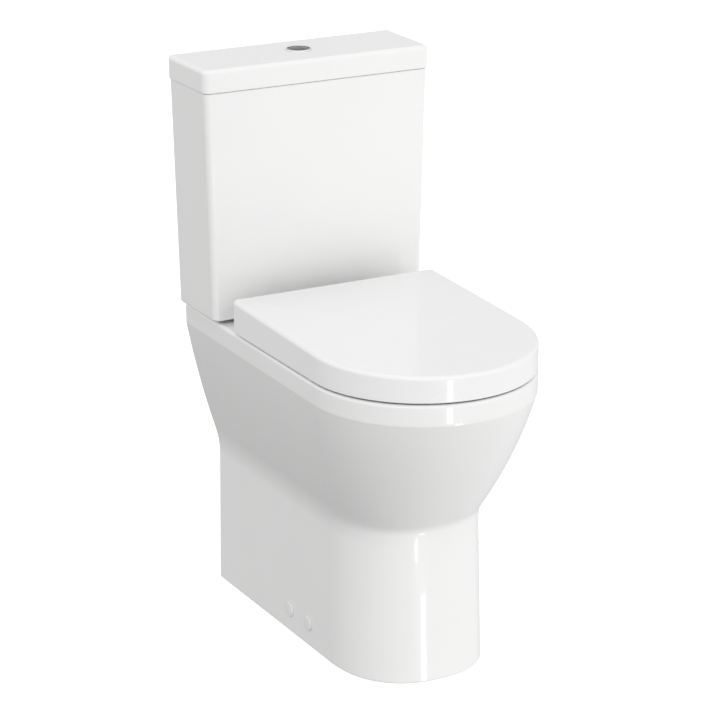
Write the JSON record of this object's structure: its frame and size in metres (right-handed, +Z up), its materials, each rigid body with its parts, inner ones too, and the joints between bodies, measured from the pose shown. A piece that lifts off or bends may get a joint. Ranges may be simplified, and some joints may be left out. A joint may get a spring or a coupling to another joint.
{
  "type": "close coupled toilet",
  "caption": "Skirted back-to-wall toilet pan with a coupled cistern, push-button dual flush and a soft-close seat and cover.",
  "frame": {"origin": "on the floor, under the middle of the whole outline", "axes": "+Z up, -Y to the front of the toilet, +Y to the wall, +X across it"},
  "size_m": [0.37, 0.6, 0.8465],
  "materials": {
    "glazed_ceramic_white": "high gloss glaze",
    "seat_white": "high gloss moulded",
    "cap_white": "gloss moulded",
    "chrome_trim": "polished plate",
    "hinge_chrome": "polished plate",
    "pin_steel": "drawn stainless",
    "spring_steel": "drawn stainless",
    "zinc_steel": "bright zinc plate",
    "brass_nut": "as machined",
    "damper_grey": "satin moulded",
    "bracket_white": "moulded nylon",
    "black_rubber": "matt moulded",
    "foam_rubber": "open foam",
    "buffer_rubber": "matt moulded",
    "seal_silicone": "soft silicone",
    "valve_white": "moulded acetal",
    "valve_grey": "moulded ABS",
    "valve_blue": "moulded polypropylene"
  },
  "bodies": {
    "toilet": {"pan": "glazed_ceramic_white", "floor_bracket_left": "bracket_white", "floor_bracket_right": "bracket_white", "side_fixing_screws": "zinc_steel", "side_screw_caps": "cap_white", "cistern_body": "glazed_ceramic_white", "cistern_cushion_pads": "black_rubber", "doughnut_washer": "foam_rubber", "coupling_bolts": "zinc_steel", "coupling_cone_washers": "black_rubber", "coupling_head_washers": "zinc_steel", "coupling_deck_washers": "zinc_steel", "coupling_wing_nuts": "brass_nut", "flush_valve_base": "valve_white", "flush_valve_washer": "black_rubber", "flush_valve_nut": "valve_white", "flush_valve_cage": "valve_grey", "actuator_bridge": "valve_grey", "flush_lever_pins": "pin_steel", "fill_valve_body": "valve_white", "fill_valve_washer": "black_rubber", "fill_valve_nut": "valve_white", "fill_lever_pin": "pin_steel", "hinge_posts": "hinge_chrome", "hinge_pins": "pin_steel", "hinge_foot_washers": "buffer_rubber", "hinge_bushes": "black_rubber", "hinge_wing_nuts": "valve_white"},
    "seat_ring": {"seat_ring": "seat_white", "seat_ring_buffers": "buffer_rubber", "ring_damper": "damper_grey"},
    "seat_cover": {"seat_cover": "seat_white", "seat_cover_buffers": "buffer_rubber", "cover_damper": "damper_grey"},
    "cistern_lid": {"cistern_lid": "glazed_ceramic_white", "button_bezel": "chrome_trim", "button_ring_nut": "valve_white", "full_button_spring": "spring_steel", "half_button_spring": "spring_steel"},
    "full_button": {"full_flush_button": "chrome_trim", "full_push_rod": "pin_steel"},
    "half_button": {"half_flush_button": "chrome_trim", "half_push_rod": "pin_steel"},
    "flush_spindle": {"overflow_spindle": "valve_white", "spindle_float": "valve_blue", "flush_seal": "seal_silicone"},
    "half_float": {"half_flush_float": "valve_blue"},
    "full_lever": {"full_flush_lever": "valve_white"},
    "half_lever": {"half_flush_lever": "valve_white"},
    "fill_float": {"fill_valve_float": "valve_blue", "fill_link_rod": "pin_steel"},
    "fill_lever": {"fill_valve_lever": "valve_grey"}
  },
  "joints": [
    {"name": "seat_hinge", "type": "hinge", "parent": "toilet", "child": "seat_ring", "pos_m": [0, 0.11, 0.487], "axis": [-1, 0, 0], "range_deg": [0, 97]},
    {"name": "cover_hinge", "type": "hinge", "parent": "seat_ring", "child": "seat_cover", "pos_m": [0, 0.11, 0.487], "axis": [1, 0, 0], "range_deg": [-97, 0]},
    {"name": "cistern_lid_lift", "type": "slide", "parent": "toilet", "child": "cistern_lid", "axis": [0, 0, 1], "range_m": [0, 0.12]},
    {"name": "full_button_press", "type": "slide", "parent": "cistern_lid", "child": "full_button", "axis": [0, 0, -1], "range_m": [0, 0.008], "stiffness_N_per_m": 300, "springref_m": -0.01},
    {"name": "half_button_press", "type": "slide", "parent": "cistern_lid", "child": "half_button", "axis": [0, 0, -1], "range_m": [0, 0.008], "stiffness_N_per_m": 300, "springref_m": -0.01},
    {"name": "spindle_lift", "type": "slide", "parent": "toilet", "child": "flush_spindle", "axis": [0, 0, 1], "range_m": [0, 0.00978]},
    {"name": "full_lever_rock", "type": "hinge", "parent": "toilet", "child": "full_lever", "pos_m": [0.01, 0.234, 0.752], "axis": [0, -1, 0], "range_deg": [0, 28.1]},
    {"name": "half_float_lift", "type": "slide", "parent": "toilet", "child": "half_float", "axis": [0, 0, 1], "range_m": [0, 0.00978]},
    {"name": "half_lever_rock", "type": "hinge", "parent": "toilet", "child": "half_lever", "pos_m": [-0.008, 0.248, 0.752], "axis": [0, 1, 0], "range_deg": [0, 28.1]},
    {"name": "fill_float_rise", "type": "slide", "parent": "toilet", "child": "fill_float", "axis": [0, 0, 1], "range_m": [0, 0.018]},
    {"name": "fill_lever_rock", "type": "hinge", "parent": "toilet", "child": "fill_lever", "pos_m": [0.126, 0.25, 0.729], "axis": [0, 1, 0], "range_deg": [0, 24.8]}
  ],
  "couplings": [
    {"joint": "spindle_lift", "follows": "full_button_press", "ratio": 1.2096},
    {"joint": "full_lever_rock", "follows": "full_button_press", "rad_per_m": 61.087},
    {"joint": "half_float_lift", "follows": "half_button_press", "ratio": 1.2096},
    {"joint": "half_lever_rock", "follows": "half_button_press", "rad_per_m": 61.087},
    {"joint": "fill_lever_rock", "follows": "fill_float_rise", "rad_per_m": 23.95}
  ]
}
